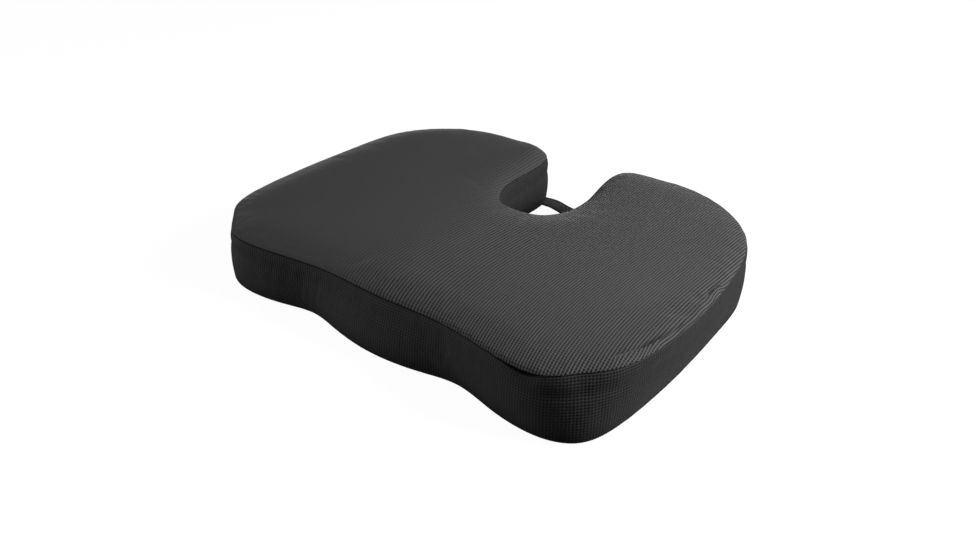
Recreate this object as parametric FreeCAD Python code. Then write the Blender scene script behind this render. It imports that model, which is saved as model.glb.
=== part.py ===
import FreeCAD, Part
import math
import os

V = FreeCAD.Vector

# Contoured seat cushion with a coccyx notch: a foam core in a zipped mesh cover,
# with a grip-dot underside and a webbing carry handle across the notch.
# Millimetres. +Z up, front of the seat faces -Y, the notch opens to +Y, "left" is -X.
# The origin is on the resting plane, on the symmetry plane, midway front to back.

# ---------------------------------------------------------------- driving sizes
DOT_H = 0.8               # height of the grip dots, the resting plane is z = 0
PANEL_T = 1.05            # thickness of the underside fabric
COVER_T = 3.0             # thickness of the mesh of the top panel and side band
COVER_FLOOR = 1.85        # underside of the space inside the cover
FOAM_GAP = 0.15           # clearance between cover and foam
FOAM_Z0 = 2.0             # underside of the foam core
CROWN = 5.8               # height of the top panel above the top seam line
EDGE_R = 4.0              # rounding of the top edge

SEAM_GAP = 1.3            # opening between two sewn fabric edges, filled by the thread
SEAM_DEPTH = 0.9          # thread centre, in from the wall, in top seam and band joins
THREAD_R = 0.4
BOTTOM_THREAD_R = 0.36
BOTTOM_THREAD_Z = DOT_H + 0.55
BOTTOM_SEAM_INSET = 7.1   # bottom seam line, measured in from the side wall
BOTTOM_REF_Z = DOT_H + 6.0   # height on the wall where the bottom insets are measured
BAND_EDGE = 0.75          # edge of the band, out from the bottom seam line
PANEL_EDGE = 0.85         # edge of the underside fabric, in from the bottom seam line
JOIN_Y = 96.0             # the zipped length of the band is joined on at y = +-JOIN_Y

# Heights at which the side wall is sectioned. It is lofted past the top, then trimmed.
WALL_LEVELS = (1.2, 1.85, 2.0, 3.0, 4.6, 6.8, 9.5, 14.0, 20.0, 26.0, 32.0,
               40.0, 48.0, 56.0, 66.0, 76.0, 88.0)

# Height of the top seam line: a shallow dish, highest at the rear corners.
# It is a polynomial in x / HALF_W and y / HALF_D; each term is named by its powers.
HALF_W, HALF_D = 216.0, 168.0
DISH_BASE = 50.4
DISH_Y, DISH_Y2, DISH_Y3 = 1.9, 9.2, 3.5
DISH_X2, DISH_X2Y = 10.0, 0.7

# Half outlines (x >= 0) from the front centre, round the side, to the notch centre.
# wall x, y | top seam x, y | outward bulge at mid height | bottom edge radius
PROFILE = [
    (0.0, -166.0, 0.0, -152.5, 2.0, 6.0),
    (49.4, -160.0, 48.7, -151.4, 2.0, 6.0),
    (83.6, -154.1, 83.5, -154.2, 2.0, 6.0),
    (123.4, -161.9, 123.5, -162.1, 2.2, 6.0),
    (169.1, -163.9, 168.1, -163.5, 2.5, 6.0),
    (194.4, -151.6, 190.1, -146.7, 2.5, 6.0),
    (206.3, -124.1, 209.6, -124.9, 2.5, 6.0),
    (215.2, -42.8, 224.1, -43.0, 2.5, 6.0),
    (217.0, 44.5, 221.1, 44.4, 2.5, 6.0),
    (209.8, 98.9, 208.0, 97.4, 2.5, 6.0),
    (174.4, 137.1, 173.3, 136.1, 3.0, 6.0),
    (125.6, 159.9, 125.3, 158.0, 3.5, 6.5),
    (77.0, 167.3, 75.6, 165.0, 4.0, 7.0),
    (45.4, 161.0, 52.9, 157.0, 5.0, 8.0),
    (40.8, 117.6, 46.5, 117.0, 5.0, 8.0),
    (43.4, 81.2, 44.8, 80.8, 4.0, 8.0),
    (25.6, 52.6, 26.6, 51.2, 3.0, 7.0),
    (0.0, 46.0, 0.0, 44.6, 3.0, 7.0),
]

# Zip in the left side of the band, which is straight and upright there.
ZIP_X = -212.5            # plane of the band's outer face at the zip
ZIP_Z = 18.0              # height of the zip's centre line
ZIP_HALF = 99.0           # half length of the zip tapes
ZIP_WINDOW = 5.6          # half height of the opening between the two band strips
LEFT_X = -150.0           # the left side of the cushion lies beyond this x
LEFT_OUTER_X = -260.0     # clear of the cushion on the left
# Ranges over which the straight part fades into the free wall.
STRAIGHT_FADE_Y = (102.0, 128.0)     # towards both ends, in |y|
STRAIGHT_FADE_Z = (31.0, 50.0)       # upwards, in z
STRAIGHT_FADE_BOTTOM = (0.5, 8.0)    # above the cover's underside

TAPE_W = 11.0             # width of one tape
TAPE_T = 0.6
TAPE_X = ZIP_X + 1.6      # outer face of the tapes
POCKET_HALF_H = TAPE_W + 1.2   # half height of the recess for the tapes
COIL_W = 2.1              # width of one row of coil elements
COIL_T = 1.4
COIL_NECK = 0.9           # length of a tooth beyond the solid cord
COIL_PITCH = 1.5
COIL_HALF = 91.5          # half length of the coil rows
SLIT = 0.4                # half of the gap between the two rows

# Carry handle: flat webbing across the mouth of the notch.
STRAP_W = 20.0
STRAP_T = 1.6
STRAP_Y = 155.5           # centre line of the webbing
STRAP_HALF = 34.0         # half length of the free part
STRAP_END = 50.0          # half distance between the outer ends of the tails
STRAP_Z_END = 7.2         # height of the middle surface at the ends of the free part
STRAP_Z_MID = 3.0         # height of the middle surface where it sags lowest
STRAP_SAG_X = (6.0, 32.0)    # the webbing rises from lowest to end height over this |x|
TAIL_DROP = 0.8           # drop of the tails from their inner to their outer ends
TAIL_GAP = 0.4            # gap between the free part and a tail

DOT_R = 2.5
DOT_TAPER = 0.3           # the dots are this much smaller in radius at the resting plane
DOT_PITCH = 22.0
DOT_ROW_PITCH = DOT_PITCH * 0.866


# ---------------------------------------------------------------- general helpers
def smooth(start, end, value):
    """Smooth step from 0 at start to 1 at end."""
    t = max(0.0, min(1.0, (value - start) / (end - start)))
    return t * t * (3 - 2 * t)


def box(x0, x1, y0, y1, z0, z1):
    return Part.makeBox(x1 - x0, y1 - y0, z1 - z0, V(x0, y0, z0))


def biggest(shape):
    return max(shape.Solids, key=lambda solid: solid.Volume)


def tube(points, radius):
    """Round cord along a smooth curve through the points."""
    curve = Part.BSplineCurve()
    curve.interpolate(Points=points)
    path = Part.Wire([curve.toShape()])
    start_direction = curve.tangent(curve.FirstParameter)[0]
    ring = Part.Wire([Part.makeCircle(radius, points[0], start_direction)])
    return path.makePipeShell([ring], True, False)


def save(name, shape):
    """Write one piece to its STEP file, mending it first if it is not valid."""
    if not shape.isValid():
        shape.fix(1e-4, 1e-4, 1e-4)
    shape.exportStep("parts/" + name + ".step")
    return shape


# ---------------------------------------------------------------- side wall and top
def root_chord_params(points):
    """Curve parameters of a closed outline, spaced by the square root of its chords."""
    params = [0.0]
    for p, q in zip(points, points[1:] + points[:1]):
        params.append(params[-1] + math.sqrt((q - p).Length))
    return params


def outline_curve(points, params):
    curve = Part.BSplineCurve()
    curve.interpolate(Points=points, PeriodicFlag=True, Parameters=params)
    return curve


# Full closed outlines, anticlockwise seen from above.
ROWS = PROFILE + [(-row[0], row[1], -row[2]) + row[3:] for row in PROFILE[-2:0:-1]]
WALL_POINTS = [V(row[0], row[1], 0) for row in ROWS]
PARAMS = root_chord_params(WALL_POINTS)
LAP = PARAMS[-1]          # curve parameter after one full turn, from 0 at the front
WALL = outline_curve(WALL_POINTS, PARAMS)
SEAM = outline_curve([V(row[2], row[3], 0) for row in ROWS], PARAMS)


def dish_height(x2, y1, y2, y3):
    """Dish polynomial from the powers of the relative x and y."""
    return (DISH_BASE + DISH_Y * y1 + DISH_Y2 * y2 + DISH_X2 * x2 + DISH_Y3 * y3
            + DISH_X2Y * x2 * y1)


def seam_height(x, y):
    a = abs(x) / HALF_W
    b = y / HALF_D
    return dish_height(a * a, b, b * b, b ** 3)


def bulge_and_radius(u):
    """Bulge and bottom edge radius at curve parameter u."""
    last = len(ROWS) - 1
    i = next((k for k in range(last) if u <= PARAMS[k + 1]), last)
    t = smooth(PARAMS[i], PARAMS[i + 1], u)
    here, after = ROWS[i], ROWS[(i + 1) % len(ROWS)]
    return here[4] + (after[4] - here[4]) * t, here[5] + (after[5] - here[5]) * t


def wall_point(u, z, inset=0.0):
    """Point of the side wall at curve parameter u and height z, moved in by inset."""
    low, high = WALL.value(u), SEAM.value(u)
    t = max(0.0, min(1.0, z / seam_height(high.x, high.y)))
    bulge, radius = bulge_and_radius(u)
    offset = bulge * math.sin(math.pi * t)
    rise = z - DOT_H
    if rise < radius:
        # rounding of the bottom edge
        drop = radius - max(rise, 0.0)
        offset -= radius - math.sqrt(max(0.0, radius * radius - drop * drop))
    # outward normal, blended between the two outlines
    tan_low, tan_high = WALL.tangent(u)[0], SEAM.tangent(u)[0]
    tan_x = tan_low.x + (tan_high.x - tan_low.x) * t
    tan_y = tan_low.y + (tan_high.y - tan_low.y) * t
    length = math.hypot(tan_x, tan_y)
    nx, ny = tan_y / length, -tan_x / length
    x = low.x + (high.x - low.x) * t + nx * offset
    y = low.y + (high.y - low.y) * t + ny * offset
    if x < LEFT_X:
        # the zip keeps the lower band straight and upright
        straight = ((1 - smooth(*STRAIGHT_FADE_Y, abs(y))) * (1 - smooth(*STRAIGHT_FADE_Z, z))
                    * smooth(*STRAIGHT_FADE_BOTTOM, rise))
        x += (ZIP_X - x) * straight
        nx, ny = nx + (-1 - nx) * straight, ny * (1 - straight)
        length = math.hypot(nx, ny)
        nx, ny = nx / length, ny / length
    return V(x - nx * inset, y - ny * inset, z)


def wall_points(z, inset, count):
    return [wall_point(LAP * i / count, z, inset) for i in range(count)]


def closed_wire(points, pieces=18):
    """Smooth closed wire in equal edges, so that the wall is a set of short panels."""
    curve = outline_curve(points, [float(i) for i in range(len(points) + 1)])
    step = len(points) // pieces
    return Part.Wire([curve.toShape(float(i * step), float((i + 1) * step))
                      for i in range(pieces)])


def wall_solid(inset, z0):
    levels = [z0] + [z for z in WALL_LEVELS if z > z0 + 0.3]
    return Part.makeLoft([closed_wire(wall_points(z, inset, 90)) for z in levels], True, False)


def below_top(dz):
    """Block bounded above by the dished top surface, moved by dz.

    The surface is one exact Bezier patch. Each pole takes the polynomial with every
    power replaced by its symmetric average over the mix of end values for that pole.
    """
    x_min, x_max = -250.0, 250.0
    y_min, y_max = -190.0, 190.0
    patch = Part.BezierSurface()
    patch.increase(2, 3)
    for i in range(3):
        a = [x_max / HALF_W] * i + [x_min / HALF_W] * (2 - i)
        for j in range(4):
            b = [y_max / HALF_D] * j + [y_min / HALF_D] * (3 - j)
            y1 = sum(b) / 3
            y2 = (b[0] * b[1] + b[1] * b[2] + b[0] * b[2]) / 3
            z = dish_height(a[0] * a[1], y1, y2, b[0] * b[1] * b[2]) + CROWN + dz
            patch.setPole(i + 1, j + 1, V(sum(a) / 2 * HALF_W, y1 * HALF_D, z))
    return patch.toShape().extrude(V(0, 0, -130))


def bottom_slab(inset, z0, z1):
    """Flat slab with the outline of the wall near its foot, moved in by inset."""
    outline = [V(p.x, p.y, z0) for p in wall_points(BOTTOM_REF_Z, inset, 180)]
    return Part.Face(closed_wire(outline)).extrude(V(0, 0, z1 - z0))


# ---------------------------------------------------------------- cover and foam
def zip_box(x0, x1, half_y, half_z):
    """Box centred on the zip line, x measured inwards from the band's outer face."""
    return box(ZIP_X + x0, ZIP_X + x1, -half_y, half_y, ZIP_Z - half_z, ZIP_Z + half_z)


def left_box(half_y, z0=-5.0, z1=120.0):
    """Box round the left side of the cushion."""
    return box(LEFT_OUTER_X, LEFT_X, -half_y, half_y, z0, z1)


def make_outer():
    """Solid envelope of the cushion with a rounded top edge."""
    outer = biggest(wall_solid(0.0, DOT_H).common(below_top(0.0)))
    top_edges = [e for e in outer.Edges if e.BoundBox.ZMin > 45.0 and e.Length > 20]
    return outer.makeFillet(EDGE_R, top_edges)


def make_foam():
    foam = wall_solid(COVER_T + FOAM_GAP, FOAM_Z0).common(below_top(-COVER_T - FOAM_GAP))
    # relief behind the zip, where the slider's inner plate runs
    foam = foam.cut(zip_box(-5.0, 5.0, ZIP_HALF + 4, 7.0))
    # shallower relief over the full height of the tapes
    foam = foam.cut(zip_box(-9.0, 2.6, ZIP_HALF + 1.5, POCKET_HALF_H))
    return biggest(foam)


def make_cover(outer):
    """Top panel, side band, and the upper and lower band strips beside the zip."""
    cover = outer.cut(wall_solid(COVER_T, COVER_FLOOR).common(below_top(-COVER_T)))
    top_panel = biggest(cover.cut(below_top(-CROWN + SEAM_GAP / 2)))
    band = biggest(cover.common(below_top(-CROWN - SEAM_GAP / 2)))
    band = band.cut(bottom_slab(BOTTOM_SEAM_INSET - BAND_EDGE, 0.0, COVER_FLOOR + 0.1))
    # pocket in the inner face of the band for the zip tapes
    band = band.cut(zip_box(1.45, 6.0, ZIP_HALF + 3, POCKET_HALF_H))
    window = zip_box(-8.0, 8.0, ZIP_HALF - 1.5, ZIP_WINDOW)
    strips = band.common(left_box(JOIN_Y - SEAM_GAP / 2)).cut(window)
    side = biggest(band.cut(left_box(JOIN_Y + SEAM_GAP / 2)).cut(window))
    upper = biggest(strips.common(left_box(120.0, z0=ZIP_Z)))
    lower = biggest(strips.common(left_box(120.0, z1=ZIP_Z)))
    return top_panel, side, upper, lower


# ---------------------------------------------------------------- threads
def top_seam_point(u):
    seam = SEAM.value(u)
    p = wall_point(u, seam_height(seam.x, seam.y), SEAM_DEPTH)
    return V(p.x, p.y, seam_height(p.x, p.y))


def bottom_seam_point(u):
    p = wall_point(u, BOTTOM_REF_Z, BOTTOM_SEAM_INSET)
    return V(p.x, p.y, BOTTOM_THREAD_Z)


def make_seam_thread(point_at, radius):
    """Thread in two runs that meet at the front and at the notch."""
    steps = 46
    runs = []
    for start, end in ((0.001, 0.499), (0.501, 0.999)):
        turns = [start + (end - start) * i / steps for i in range(steps + 1)]
        runs.append(tube([point_at(LAP * turn) for turn in turns], radius))
    return Part.makeCompound(runs)


def left_param_at(y, z):
    """Curve parameter on the left side where the wall has this y at height z."""
    samples = [LAP * i / 900 for i in range(900)]
    points = [(wall_point(u, z), u) for u in samples]
    nearest = min((abs(p.y - y), u) for p, u in points if p.x < LEFT_X)[1]
    low, high = nearest - 0.15, nearest + 0.15
    for _ in range(40):
        middle = (low + high) / 2
        if (wall_point(middle, z).y - y) * (wall_point(low, z).y - y) > 0:
            low = middle
        else:
            high = middle
    return (low + high) / 2


def make_band_joins():
    """Upright threads where the zipped length of the band meets the rest."""
    joins = []
    for y in (-JOIN_Y, JOIN_Y):
        points = []
        for i in range(13):
            z = 5.0 + i * 4.0
            points.append(V(wall_point(left_param_at(y, z), z, SEAM_DEPTH).x, y, z))
        joins.append(tube(points, THREAD_R))
    return Part.makeCompound(joins)


# ---------------------------------------------------------------- zip
def zip_z(sign, near, far):
    """Lower and upper z of a span above (1) or below (-1) the zip's centre line."""
    return sorted((ZIP_Z + sign * near, ZIP_Z + sign * far))


def make_tape(sign):
    return box(TAPE_X, TAPE_X + TAPE_T, -ZIP_HALF, ZIP_HALF, *zip_z(sign, SLIT, SLIT + TAPE_W))


def make_coil(sign, phase):
    """One row of coil elements: a cord with a tooth at every pitch, as one solid."""
    x = TAPE_X - COIL_T
    z_root = ZIP_Z + sign * (SLIT + COIL_W)
    z_neck = ZIP_Z + sign * (SLIT + COIL_NECK)
    z_tip = ZIP_Z + sign * SLIT
    points = [V(x, -COIL_HALF, z_root)]
    if phase > 0:
        points.append(V(x, -COIL_HALF, z_neck))
    y = -COIL_HALF + phase
    while y + COIL_PITCH / 2 < COIL_HALF:
        y_end = y + COIL_PITCH / 2
        points += [V(x, y, z_neck), V(x, y, z_tip), V(x, y_end, z_tip), V(x, y_end, z_neck)]
        y += COIL_PITCH
    points += [V(x, COIL_HALF, z_neck), V(x, COIL_HALF, z_root), points[0]]
    return Part.Face(Part.makePolygon(points)).extrude(V(COIL_T, 0, 0))


# The stops stand just past the ends of the coils: a pair at +Y, a single one at -Y.
STOP_REACH = 2.9          # outer edge of the stops from the zip's centre line
STOP_COIL_GAP = 0.1
STOP_TAPE_GAP = 0.02


def make_top_stops():
    y0, y1 = COIL_HALF + STOP_COIL_GAP, COIL_HALF + 2.5
    return Part.makeCompound([
        box(TAPE_X - 1.7, TAPE_X - STOP_TAPE_GAP, y0, y1, *zip_z(sign, 0.25, STOP_REACH))
        for sign in (1, -1)])


def make_bottom_stop():
    return box(TAPE_X - 1.8, TAPE_X - STOP_TAPE_GAP, -COIL_HALF - 2.9,
               -COIL_HALF - STOP_COIL_GAP, ZIP_Z - STOP_REACH, ZIP_Z + STOP_REACH)


SLIDER_L = 10.5
SLIDER_W = 7.4
SLIDER_Y = 84.0           # slider centre with the zip closed
HALF_L = SLIDER_L / 2
HALF_SW = SLIDER_W / 2
SLIDER_GAP = 0.15         # clearance of the slider from coils and tapes
PLATE_IN_X = TAPE_X - COIL_T - SLIDER_GAP    # inner face of the outer plate
PLATE_OUT_X = PLATE_IN_X - 1.2               # outer face of the outer plate
BRIDGE_HALF_L = 2.7
BRIDGE_HALF_W = 0.9
LEG_L = 1.2
# Upper half of the slider's outline about its centre: y, z.
SLIDER_HALF_PLAN = [
    (-HALF_L, HALF_SW - 1.4), (-HALF_L + 1.2, HALF_SW - 0.5), (HALF_L - 3.0, HALF_SW),
    (HALF_L - 0.8, HALF_SW - 0.3), (HALF_L, HALF_SW - 1.2),
]

PULL_L = 23.0
PULL_W = 6.0
PULL_T = 1.3
PIVOT_X = PLATE_OUT_X - 1.05                 # axis of the puller's cross bar


def slider_plate(x0, x1, shrink=0.0):
    plan = [(y, -z) for y, z in SLIDER_HALF_PLAN] + SLIDER_HALF_PLAN[::-1]
    points = [V(x0, SLIDER_Y + y * (1 - shrink / HALF_L), ZIP_Z + z * (1 - shrink / HALF_SW))
              for y, z in plan]
    return Part.Face(Part.makePolygon(points + [points[0]])).extrude(V(x1 - x0, 0, 0))


def slider_box(x0, x1, y0, y1, half_z):
    """Box with y measured from the slider's centre."""
    return box(x0, x1, SLIDER_Y + y0, SLIDER_Y + y1, ZIP_Z - half_z, ZIP_Z + half_z)


def make_slider():
    """Outer and inner plates joined by a thin neck that runs in the slit."""
    inner_x = TAPE_X + TAPE_T
    pieces = [
        slider_plate(inner_x + SLIDER_GAP, inner_x + SLIDER_GAP + 1.0, 0.3),
        slider_box(PLATE_IN_X - 0.3, inner_x + 0.4, -HALF_L + 1.0, -HALF_L + 4.5, 0.25),
    ]
    # rails on the outer plate, beside the coils
    rail = COIL_W + SLIT + 0.2
    for sign in (1, -1):
        pieces.append(box(PLATE_IN_X - 0.3, TAPE_X - SLIDER_GAP, SLIDER_Y - HALF_L + 1.6,
                          SLIDER_Y + HALF_L - 1.6, *zip_z(sign, rail, rail + 0.7)))
    # bridge: a low arch on two legs that holds the puller's cross bar
    pieces.append(slider_box(PLATE_OUT_X - 3.1, PLATE_OUT_X - 1.95,
                             -BRIDGE_HALF_L, BRIDGE_HALF_L, BRIDGE_HALF_W))
    for y in (-BRIDGE_HALF_L, BRIDGE_HALF_L - LEG_L):
        pieces.append(slider_box(PLATE_OUT_X - 2.2, PLATE_OUT_X + 0.3,
                                 y, y + LEG_L, BRIDGE_HALF_W))
    slider = slider_plate(PLATE_OUT_X, PLATE_IN_X)
    for piece in pieces:
        slider = slider.fuse(piece)
    slider = biggest(slider.removeSplitter())
    # the small rounding of the bridge can fail, the edges then stay square
    try:
        edges = [e for e in slider.Edges
                 if e.BoundBox.XMax < PLATE_OUT_X - 2.9 and e.Length > 1.5]
        rounded = slider.makeFillet(0.35, edges)
        if rounded.isValid():
            slider = rounded
    except Exception:
        pass
    return biggest(slider)


def make_puller():
    """Cross bar through the bridge, two arms and a tab with a slot, lying towards -Y."""
    bar = Part.makeCylinder(0.75, PULL_W - 0.4,
                            V(PIVOT_X, SLIDER_Y, ZIP_Z - PULL_W / 2 + 0.2), V(0, 0, 1))
    tab = slider_box(PIVOT_X - PULL_T / 2, PIVOT_X + PULL_T / 2, -PULL_L, 0.6, PULL_W / 2)
    corners = [e for e in tab.Edges
               if abs(e.BoundBox.XLength - PULL_T) < 0.01 and e.BoundBox.YMax < SLIDER_Y - 10]
    tab = tab.makeFillet(2.4, corners)
    eye = slider_box(PIVOT_X - 3, PIVOT_X + 3, -5.2, 0.7, 1.5)
    slot = slider_box(PIVOT_X - 3, PIVOT_X + 3, -PULL_L + 3.2, -9.0, 1.3)
    return biggest(tab.cut(eye).cut(slot).fuse(bar).removeSplitter())


STITCH_X = ZIP_X - 0.08   # inner side of the stitches and bar tacks before trimming
STITCH_Z = 7.6            # stitch rows, above and below the zip's centre line
STITCH_L = 2.6
STITCH_STARTS = range(-93, 92, 4)
TACK_HALF = 99.3          # outer ends of the bar tacks in y
TACK_L = 1.4


def make_zip_stitching(upper, lower):
    """Rows of stitches that hold the tapes to the two strips."""
    stitches = [
        box(ZIP_X - 0.42, STITCH_X, y, y + STITCH_L,
            ZIP_Z + sign * STITCH_Z - 0.25, ZIP_Z + sign * STITCH_Z + 0.25)
        for sign in (1, -1) for y in STITCH_STARTS]
    # the underside of every stitch follows the face of the strip
    trimmed = Part.makeCompound(stitches).cut(upper).cut(lower)
    return Part.makeCompound([s for s in trimmed.Solids if s.Volume > 0.05])


def make_bartacks(side):
    """Upright bar tacks across the two ends of the zip."""
    return Part.makeCompound([
        biggest(box(ZIP_X - 0.9, STITCH_X, y, y + TACK_L,
                    ZIP_Z - STITCH_Z, ZIP_Z + STITCH_Z).cut(side))
        for y in (-TACK_HALF, TACK_HALF - TACK_L)])


# ---------------------------------------------------------------- grip dots
def is_inside(x, y, outline, margin):
    """True if the point is in the outline and further than margin from its points."""
    inside = False
    for p, q in zip(outline, outline[1:] + outline[:1]):
        if (p.y > y) != (q.y > y) and x < (q.x - p.x) * (y - p.y) / (q.y - p.y) + p.x:
            inside = not inside
    return inside and min(math.hypot(p.x - x, p.y - y) for p in outline) > margin


def make_dots():
    """Staggered rows of dots over the underside."""
    outline = wall_points(BOTTOM_REF_Z, BOTTOM_SEAM_INSET + 2.0, 368)
    rows = int(180 / DOT_ROW_PITCH) + 1
    dots = []
    for j in range(-rows, rows + 1):
        y = j * DOT_ROW_PITCH
        shift = DOT_PITCH / 2 if j % 2 else 0.0
        for i in range(-12, 13):
            x = i * DOT_PITCH + shift
            if is_inside(x, y, outline, DOT_R + 3.0):
                dots.append(Part.makeCone(DOT_R - DOT_TAPER, DOT_R, DOT_H, V(x, y, 0)))
    return Part.makeCompound(dots)


# ---------------------------------------------------------------- handle
STRAP_Y0 = STRAP_Y - STRAP_W / 2
STRAP_Y1 = STRAP_Y + STRAP_W / 2


def strap_z(x):
    """Height of the webbing's middle surface."""
    rise = (STRAP_Z_END - STRAP_Z_MID) * smooth(*STRAP_SAG_X, abs(x))
    return STRAP_Z_MID + rise - TAIL_DROP * smooth(STRAP_HALF, STRAP_END, abs(x))


def ribbon(x0, x1, y0, y1, under, over, steps):
    """Ribbon between two offsets from the webbing's middle surface."""
    xs = [x0 + (x1 - x0) * i / steps for i in range(steps + 1)]
    low = [V(x, y0, strap_z(x) + under) for x in xs]
    high = [V(x, y0, strap_z(x) + over) for x in xs]
    low_curve, high_curve = Part.BSplineCurve(), Part.BSplineCurve()
    low_curve.interpolate(Points=low)
    high_curve.interpolate(Points=high)
    wire = Part.Wire([low_curve.toShape(), Part.makeLine(low[-1], high[-1]),
                      high_curve.toShape(), Part.makeLine(high[0], low[0])])
    return Part.Face(wire).extrude(V(0, y1 - y0, 0))


def webbing(x0, x1, steps):
    return ribbon(x0, x1, STRAP_Y0, STRAP_Y1, -STRAP_T / 2, STRAP_T / 2, steps)


def make_tails(outer):
    """Short ends of the webbing, trimmed where they meet the cushion."""
    inner_end = STRAP_HALF + TAIL_GAP
    return Part.makeCompound([
        biggest(webbing(x0, x1, 8).cut(outer))
        for x0, x1 in ((-STRAP_END, -inner_end), (inner_end, STRAP_END))])


def make_handle_stitching():
    """A row of stitches on top of the webbing along each long edge."""
    stitches = []
    for y in (STRAP_Y0 + 2.2, STRAP_Y1 - 2.2):
        for i in range(19):
            x = -32.5 + 3.4 * i
            stitches.append(ribbon(x, x + 2.4, y - 0.3, y + 0.3,
                                   STRAP_T / 2 + 0.03, STRAP_T / 2 + 0.4, 2))
    return Part.makeCompound(stitches)


# ---------------------------------------------------------------- build and write
os.makedirs("parts", exist_ok=True)

outer = make_outer()
top_panel, side, upper, lower = make_cover(outer)
save("foam_core", make_foam())
save("top_panel", top_panel)
side = save("side_band", side)
upper = save("zip_band_upper", upper)
lower = save("zip_band_lower", lower)
save("bottom_panel", bottom_slab(BOTTOM_SEAM_INSET + PANEL_EDGE, DOT_H, DOT_H + PANEL_T))

save("top_seam_thread", make_seam_thread(top_seam_point, THREAD_R))
save("bottom_seam_thread", make_seam_thread(bottom_seam_point, BOTTOM_THREAD_R))
save("band_join_threads", make_band_joins())

# the teeth of the lower row stand half a pitch off those of the upper row
for name, sign, phase in (("upper", 1, 0.0), ("lower", -1, COIL_PITCH / 2)):
    save("zip_tape_" + name, make_tape(sign))
    save("zip_coil_" + name, make_coil(sign, phase))
save("zip_top_stops", make_top_stops())
save("zip_bottom_stop", make_bottom_stop())
save("zip_slider_body", make_slider())
save("zip_puller", make_puller())
save("zip_stitching", make_zip_stitching(upper, lower))
save("zip_bartacks", make_bartacks(side))

save("grip_dots", make_dots())
save("handle_webbing", webbing(-STRAP_HALF, STRAP_HALF, 24))
save("handle_tails", make_tails(outer))
save("handle_stitching", make_handle_stitching())
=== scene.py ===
# Seat cushion with a notch: a foam block in a zipped, knitted cover, with a webbing strap.
# Metres, +Z up, resting near z = 0. The front edge faces -Y and the notch opens to the rear, +Y.
# The zip runs along the left side, -X. The strap crosses the mouth of the notch, low down.
# Lengths in this script are millimetres unless noted; mesh_object converts them.
import math

import bpy
import numpy as np
from mathutils import Matrix, Vector
from mathutils.geometry import delaunay_2d_cdt


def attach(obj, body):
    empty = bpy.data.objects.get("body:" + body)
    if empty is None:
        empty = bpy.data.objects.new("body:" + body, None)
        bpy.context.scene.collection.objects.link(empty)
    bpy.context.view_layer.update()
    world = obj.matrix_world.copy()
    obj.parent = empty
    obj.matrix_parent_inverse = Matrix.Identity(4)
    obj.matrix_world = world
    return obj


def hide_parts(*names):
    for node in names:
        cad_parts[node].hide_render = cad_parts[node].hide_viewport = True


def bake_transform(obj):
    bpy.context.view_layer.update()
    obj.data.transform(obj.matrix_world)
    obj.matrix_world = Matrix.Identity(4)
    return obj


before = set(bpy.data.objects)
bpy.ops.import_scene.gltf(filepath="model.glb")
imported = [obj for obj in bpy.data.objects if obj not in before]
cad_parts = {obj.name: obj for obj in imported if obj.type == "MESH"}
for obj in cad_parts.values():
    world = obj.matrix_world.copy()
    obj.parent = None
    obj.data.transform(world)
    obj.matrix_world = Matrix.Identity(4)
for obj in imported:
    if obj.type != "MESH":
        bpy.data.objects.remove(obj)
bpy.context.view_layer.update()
MM = 0.001

# ------------------------------------------------------------------ driving dimensions
DOT_H = 0.8                             # grip dots lift the cover off the ground
HALF_W, HALF_D = 216.0, 168.0           # half width and depth that scale the seam height
ZIP_X, ZIP_Z = -212.5, 18.0             # plane of the flattened wall, and middle of the zip
ZIP_WINDOW = 5.6                        # half height of the opening between the zip strips
JOIN_Y = 96.0                           # the zip strips meet the side band at +-JOIN_Y
LEFT_X = -150.0                         # points with a smaller x belong to the left wall
FLAT_Y, FLAT_Z = (102.0, 128.0), (31.0, 50.0)   # the flat zip wall eases out over these ranges
FLAT_FOOT = (0.5, 8.0)                  # and eases in over these heights above DOT_H
STEP = 2.6            # spacing of mesh columns along the perimeter
TOP_CELL = 4.0        # spacing of mesh points inside the top panel

# Outline of the right half, front middle to notch middle:
# wall foot x, y | top seam x, y | bulge | bottom edge radius | seam dip | dome factor
PROFILE = np.array([
    (0.0, -166.0, 0.0, -152.5, 2.0, 6.0, 0, 1.0),
    (49.4, -160.0, 48.7, -151.4, 2.0, 6.0, 0, 1.0),
    (83.6, -154.1, 83.5, -154.2, 2.0, 6.0, 0, 1.0),
    (123.4, -161.9, 123.5, -162.1, 2.2, 6.0, 0, 0.9),
    (169.1, -163.9, 168.1, -163.5, 2.5, 6.0, 0, 0.75),
    (194.4, -151.6, 190.1, -146.7, 2.5, 6.0, 0.8, 0.7),
    (206.3, -124.1, 209.6, -124.9, 2.5, 6.0, 1.5, 0.85),
    (215.2, -42.8, 224.1, -43.0, 2.5, 6.0, 0.5, 1.0),
    (217.0, 44.5, 221.1, 44.4, 2.5, 6.0, 0, 1.0),
    (209.8, 98.9, 208.0, 97.4, 2.5, 6.0, 0, 1.0),
    (174.4, 137.1, 173.3, 136.1, 3.0, 6.0, 0, 1.0),
    (125.6, 159.9, 125.3, 158.0, 3.5, 6.5, 0, 1.0),
    (77.0, 167.3, 75.6, 165.0, 4.0, 7.0, -1.5, 1.0),
    (45.4, 161.0, 44.0, 160.8, 3.0, 8.0, -6.0, 1.1),
    (40.8, 117.6, 42.2, 117.3, 3.0, 8.0, -4.5, 1.1),
    (43.4, 81.2, 42.6, 80.4, 4.0, 8.0, -3.0, 1.0),
    (25.6, 52.6, 26.6, 51.2, 3.0, 7.0, -2.0, 1.0),
    (0.0, 46.0, 0.0, 44.6, 3.0, 7.0, -2.0, 1.0)])
_left = PROFILE[-2:0:-1].copy()
_left[:, [0, 2]] *= -1
ROWS = np.vstack([PROFILE, _left])
BULGE, FOOT_RADIUS, DIP, DOME = ROWS[:, 4:].T
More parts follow.
